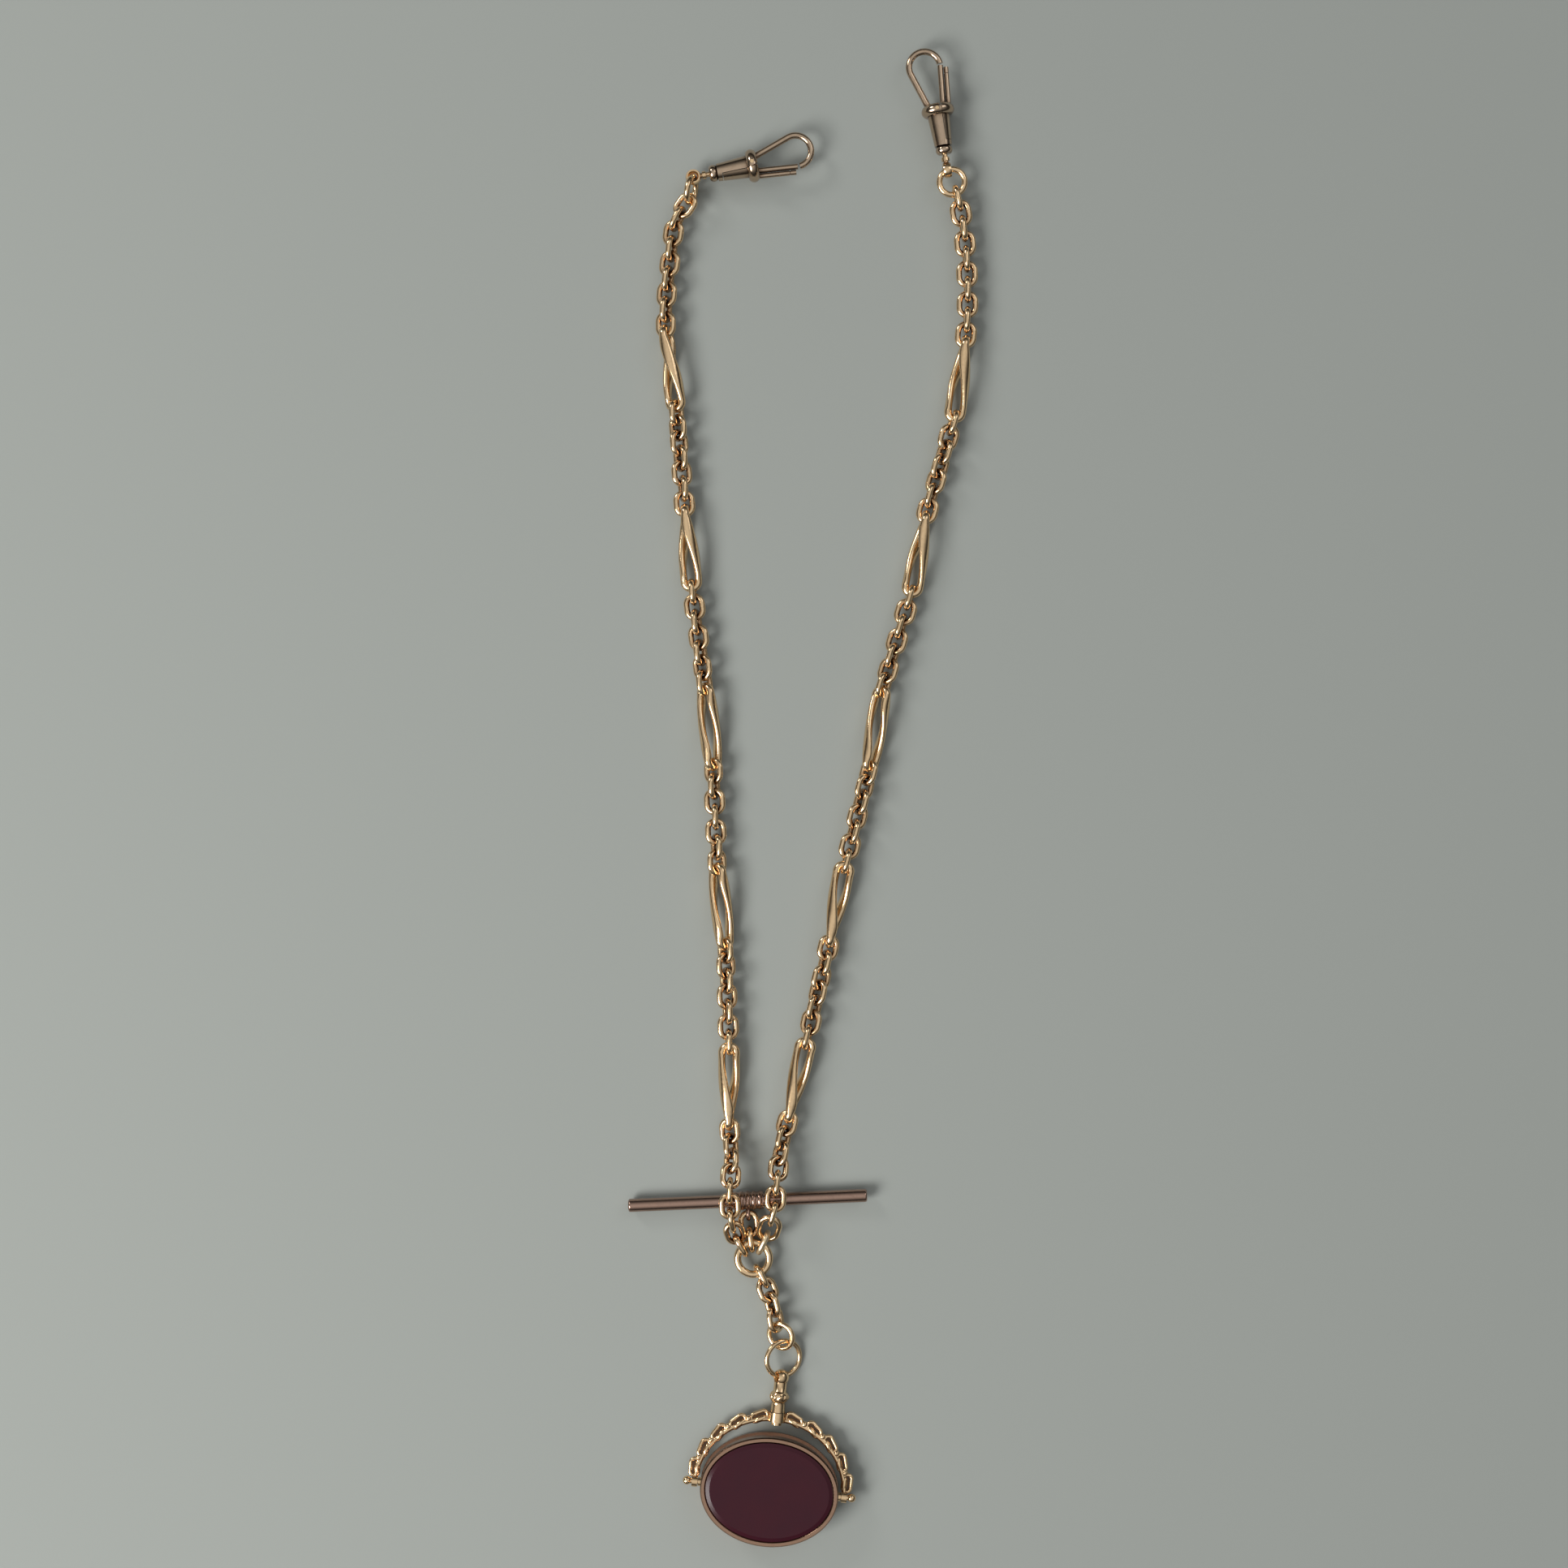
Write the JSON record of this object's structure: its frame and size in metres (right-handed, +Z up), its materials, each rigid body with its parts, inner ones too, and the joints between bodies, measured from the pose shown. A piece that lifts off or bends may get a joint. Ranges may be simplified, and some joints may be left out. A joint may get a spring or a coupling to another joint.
{
  "type": "double watch chain with seal fob",
  "caption": "Double watch chain of twisted long links and small round links, with a T-bar, swivel clips and a swivel seal fob set with red stones.",
  "frame": {"origin": "middle of the bounding box's base, on the surface that the chain lies on", "axes": "+Y from the fob towards the clips, +X to the right seen from above, +Z up"},
  "size_m": [0.0561, 0.2391, 0.0063],
  "materials": {
    "gold": "polished yellow gold, worn",
    "rose_gold": "polished rose gold, worn",
    "stone": "polished dark red stone",
    "bedding": "plain, hidden",
    "spring_steel": "plain wire"
  },
  "bodies": {
    "centre_ring": {"centre_ring": "gold"},
    "left_lower_links": {"left_lower_links": "gold"},
    "left_long_link_5": {"left_long_link_5": "gold"},
    "left_links_5_to_4": {"left_links_5_to_4": "gold"},
    "left_long_link_4": {"left_long_link_4": "gold"},
    "left_links_4_to_3": {"left_links_4_to_3": "gold"},
    "left_long_link_3": {"left_long_link_3": "gold"},
    "left_links_3_to_2": {"left_links_3_to_2": "gold"},
    "left_long_link_2": {"left_long_link_2": "gold"},
    "left_links_2_to_1": {"left_links_2_to_1": "gold"},
    "left_long_link_1": {"left_long_link_1": "gold"},
    "left_top_links": {"left_top_links": "gold"},
    "left_clip_ring": {"left_clip_ring": "gold"},
    "left_swivel": {"left_swivel": "gold"},
    "left_clip_body": {"left_clip_body": "rose_gold", "left_gate_pin": "gold", "left_gate_spring": "spring_steel"},
    "left_gate": {"left_gate": "rose_gold"},
    "right_first_link": {"right_first_link": "gold"},
    "right_oval_ring": {"right_oval_ring": "gold"},
    "right_lower_links": {"right_lower_links": "gold"},
    "right_long_link_5": {"right_long_link_5": "gold"},
    "right_links_5_to_4": {"right_links_5_to_4": "gold"},
    "right_long_link_4": {"right_long_link_4": "gold"},
    "right_links_4_to_3": {"right_links_4_to_3": "gold"},
    "right_long_link_3": {"right_long_link_3": "gold"},
    "right_links_3_to_2": {"right_links_3_to_2": "gold"},
    "right_long_link_2": {"right_long_link_2": "gold"},
    "right_links_2_to_1": {"right_links_2_to_1": "gold"},
    "right_long_link_1": {"right_long_link_1": "gold"},
    "right_top_links": {"right_top_links": "gold"},
    "right_clip_ring": {"right_clip_ring": "gold"},
    "right_swivel": {"right_swivel": "gold"},
    "right_clip_body": {"right_clip_body": "rose_gold", "right_gate_pin": "gold", "right_gate_spring": "spring_steel"},
    "right_gate": {"right_gate": "rose_gold"},
    "t_bar_links": {"t_bar_links": "gold"},
    "t_bar": {"t_bar": "rose_gold", "t_bar_sleeve": "rose_gold"},
    "drop_links": {"drop_links": "gold"},
    "drop_ring": {"drop_ring": "gold"},
    "bow_ring": {"bow_ring": "gold"},
    "finial": {"finial": "gold"},
    "bail": {"bail": "gold"},
    "seal": {"seal_band": "gold", "setting_bed": "bedding", "front_rim": "gold", "back_rim": "gold", "front_stone": "stone", "back_stone": "stone", "left_pivot_pin": "gold", "right_pivot_pin": "gold"}
  },
  "joints": [
    {"name": "left_lower_links_hinge", "type": "hinge", "parent": "centre_ring", "child": "left_lower_links", "pos_m": [-0.00915, -0.07335, 0.00175], "axis": [0, 0, 1], "range_deg": [0, 18]},
    {"name": "left_long_link_5_hinge", "type": "hinge", "parent": "left_lower_links", "child": "left_long_link_5", "pos_m": [-0.01196, -0.05312, 0.00175], "axis": [0, 0, 1], "range_deg": [-5, 6.5]},
    {"name": "left_links_5_to_4_hinge", "type": "hinge", "parent": "left_long_link_5", "child": "left_links_5_to_4", "pos_m": [-0.01201, -0.04128, 0.00175], "axis": [0, 0, -1], "range_deg": [-12, 8]},
    {"name": "left_long_link_4_hinge", "type": "hinge", "parent": "left_links_5_to_4", "child": "left_long_link_4", "pos_m": [-0.01264, -0.02362, 0.00175], "axis": [0, 0, 1], "range_deg": [-8, 12]},
    {"name": "left_links_4_to_3_hinge", "type": "hinge", "parent": "left_long_link_4", "child": "left_links_4_to_3", "pos_m": [-0.01388, -0.01196, 0.00175], "axis": [0, 0, -1], "range_deg": [-12, 8]},
    {"name": "left_long_link_3_hinge", "type": "hinge", "parent": "left_links_4_to_3", "child": "left_long_link_3", "pos_m": [-0.01453, 0.00498, 0.00175], "axis": [0, 0, 1], "range_deg": [-11, 10]},
    {"name": "left_links_3_to_2_hinge", "type": "hinge", "parent": "left_long_link_3", "child": "left_links_3_to_2", "pos_m": [-0.01579, 0.01682, 0.00175], "axis": [0, 0, -1], "range_deg": [-12, 12]},
    {"name": "left_long_link_2_hinge", "type": "hinge", "parent": "left_links_3_to_2", "child": "left_long_link_2", "pos_m": [-0.01806, 0.03428, 0.00175], "axis": [0, 0, 1], "range_deg": [-12, 12]},
    {"name": "left_links_2_to_1_hinge", "type": "hinge", "parent": "left_long_link_2", "child": "left_links_2_to_1", "pos_m": [-0.01912, 0.04615, 0.00175], "axis": [0, 0, -1], "range_deg": [-12, 12]},
    {"name": "left_long_link_1_hinge", "type": "hinge", "parent": "left_links_2_to_1", "child": "left_long_link_1", "pos_m": [-0.02054, 0.06279, 0.00175], "axis": [0, 0, 1], "range_deg": [-12, 12]},
    {"name": "left_top_links_hinge", "type": "hinge", "parent": "left_long_link_1", "child": "left_top_links", "pos_m": [-0.02218, 0.0746, 0.00175], "axis": [0, 0, -1], "range_deg": [-12, 12]},
    {"name": "left_clip_ring_hinge", "type": "hinge", "parent": "left_top_links", "child": "left_clip_ring", "pos_m": [-0.01856, 0.09497, 0.00238], "axis": [0, 0, 1], "range_deg": [-12, 12]},
    {"name": "left_swivel_hinge", "type": "hinge", "parent": "left_clip_ring", "child": "left_swivel", "pos_m": [-0.01769, 0.0988, 0.00265], "axis": [-0.2549, 0.0449, 0.9659], "range_deg": [-30, 30]},
    {"name": "left_clip_body_swivel", "type": "hinge", "parent": "left_swivel", "child": "left_clip_body", "pos_m": [-0.01769, 0.0988, 0.00265], "axis": [0.9816, 0.1908, 0], "continuous": true},
    {"name": "left_gate_hinge", "type": "hinge", "parent": "left_clip_body", "child": "left_gate", "pos_m": [-0.00831, 0.10088, 0.00265], "axis": [0, 0, 1], "range_deg": [0, 22], "stiffness_Nm_per_rad": 0.002, "springref_deg": -5.73},
    {"name": "right_first_link_hinge", "type": "hinge", "parent": "centre_ring", "child": "right_first_link", "pos_m": [-0.00732, -0.07309, 0.00175], "axis": [0, 0, -1], "range_deg": [0, 18]},
    {"name": "right_oval_ring_hinge", "type": "hinge", "parent": "right_first_link", "child": "right_oval_ring", "pos_m": [-0.00579, -0.07002, 0.00234], "axis": [0, 0, -1], "range_deg": [-6, 12]},
    {"name": "right_lower_links_hinge", "type": "hinge", "parent": "right_oval_ring", "child": "right_lower_links", "pos_m": [-0.00538, -0.06828, 0.00396], "axis": [0, 0, 1], "range_deg": [-12, 6]},
    {"name": "right_long_link_5_hinge", "type": "hinge", "parent": "right_lower_links", "child": "right_long_link_5", "pos_m": [-0.00256, -0.05197, 0.00175], "axis": [0, 0, -1], "range_deg": [-7, 12]},
    {"name": "right_links_5_to_4_hinge", "type": "hinge", "parent": "right_long_link_5", "child": "right_links_5_to_4", "pos_m": [0.00017, -0.04044, 0.00175], "axis": [0, 0, 1], "range_deg": [-12, 7]},
    {"name": "right_long_link_4_hinge", "type": "hinge", "parent": "right_links_5_to_4", "child": "right_long_link_4", "pos_m": [0.00399, -0.0239, 0.00175], "axis": [0, 0, -1], "range_deg": [-8, 12]},
    {"name": "right_links_4_to_3_hinge", "type": "hinge", "parent": "right_long_link_4", "child": "right_links_4_to_3", "pos_m": [0.00634, -0.01225, 0.00175], "axis": [0, 0, 1], "range_deg": [-12, 9]},
    {"name": "right_long_link_3_hinge", "type": "hinge", "parent": "right_links_4_to_3", "child": "right_long_link_3", "pos_m": [0.01059, 0.00479, 0.00175], "axis": [0, 0, -1], "range_deg": [-11, 12]},
    {"name": "right_links_3_to_2_hinge", "type": "hinge", "parent": "right_long_link_3", "child": "right_links_3_to_2", "pos_m": [0.01243, 0.01638, 0.00175], "axis": [0, 0, 1], "range_deg": [-11, 12]},
    {"name": "right_long_link_2_hinge", "type": "hinge", "parent": "right_links_3_to_2", "child": "right_long_link_2", "pos_m": [0.01745, 0.03336, 0.00175], "axis": [0, 0, -1], "range_deg": [-12, 12]},
    {"name": "right_links_2_to_1_hinge", "type": "hinge", "parent": "right_long_link_2", "child": "right_links_2_to_1", "pos_m": [0.01959, 0.04507, 0.00175], "axis": [0, 0, 1], "range_deg": [-12, 12]},
    {"name": "right_long_link_1_hinge", "type": "hinge", "parent": "right_links_2_to_1", "child": "right_long_link_1", "pos_m": [0.02428, 0.06135, 0.00175], "axis": [0, 0, -1], "range_deg": [-12, 12]},
    {"name": "right_top_links_hinge", "type": "hinge", "parent": "right_long_link_1", "child": "right_top_links", "pos_m": [0.02592, 0.07317, 0.00175], "axis": [0, 0, 1], "range_deg": [-12, 12]},
    {"name": "right_clip_ring_hinge", "type": "hinge", "parent": "right_top_links", "child": "right_clip_ring", "pos_m": [0.02413, 0.09722, 0.00238], "axis": [0, 0, -1], "range_deg": [-12, 12]},
    {"name": "right_swivel_hinge", "type": "hinge", "parent": "right_clip_ring", "child": "right_swivel", "pos_m": [0.02369, 0.09806, 0.00265], "axis": [0, 0, 1], "range_deg": [-25, 25]},
    {"name": "right_clip_body_swivel", "type": "hinge", "parent": "right_swivel", "child": "right_clip_body", "pos_m": [0.02289, 0.09993, 0.00265], "axis": [-0.1564, 0.9877, 0], "continuous": true},
    {"name": "right_gate_hinge", "type": "hinge", "parent": "right_clip_body", "child": "right_gate", "pos_m": [0.02115, 0.10938, 0.00265], "axis": [0, 0, 1], "range_deg": [0, 22], "stiffness_Nm_per_rad": 0.002, "springref_deg": -5.73},
    {"name": "t_bar_links_hinge", "type": "hinge", "parent": "centre_ring", "child": "t_bar_links", "pos_m": [-0.00846, -0.07168, 0.00175], "axis": [-1, 0, 0], "range_deg": [0, 25]},
    {"name": "t_bar_hinge", "type": "hinge", "parent": "t_bar_links", "child": "t_bar", "pos_m": [-0.00896, -0.06695, 0.00153], "axis": [-0.9991, -0.0427, 0], "range_deg": [0, 60]},
    {"name": "drop_links_hinge", "type": "hinge", "parent": "centre_ring", "child": "drop_links", "pos_m": [-0.00764, -0.07547, 0.00175], "axis": [0, 0, 1], "range_deg": [-14, 14]},
    {"name": "drop_ring_hinge", "type": "hinge", "parent": "drop_links", "child": "drop_ring", "pos_m": [-0.00435, -0.08532, 0.00175], "axis": [0, 0, 1], "range_deg": [-12, 12]},
    {"name": "bow_ring_hinge", "type": "hinge", "parent": "drop_ring", "child": "bow_ring", "pos_m": [-0.00306, -0.08799, 0.00175], "axis": [0, 0, 1], "range_deg": [-10, 15]},
    {"name": "finial_hinge", "type": "hinge", "parent": "bow_ring", "child": "finial", "pos_m": [-0.00364, -0.09329, 0.00144], "axis": [0.8983, -0.123, -0.4219], "range_deg": [-25, 25]},
    {"name": "bail_swivel", "type": "hinge", "parent": "finial", "child": "bail", "pos_m": [-0.00441, -0.10034, 0.00186], "axis": [0.1078, 0.9924, -0.0597], "continuous": true},
    {"name": "seal_spin", "type": "hinge", "parent": "bail", "child": "seal", "pos_m": [-0.00556, -0.11096, 0.0025], "axis": [0.9942, -0.108, 0], "continuous": true}
  ]
}
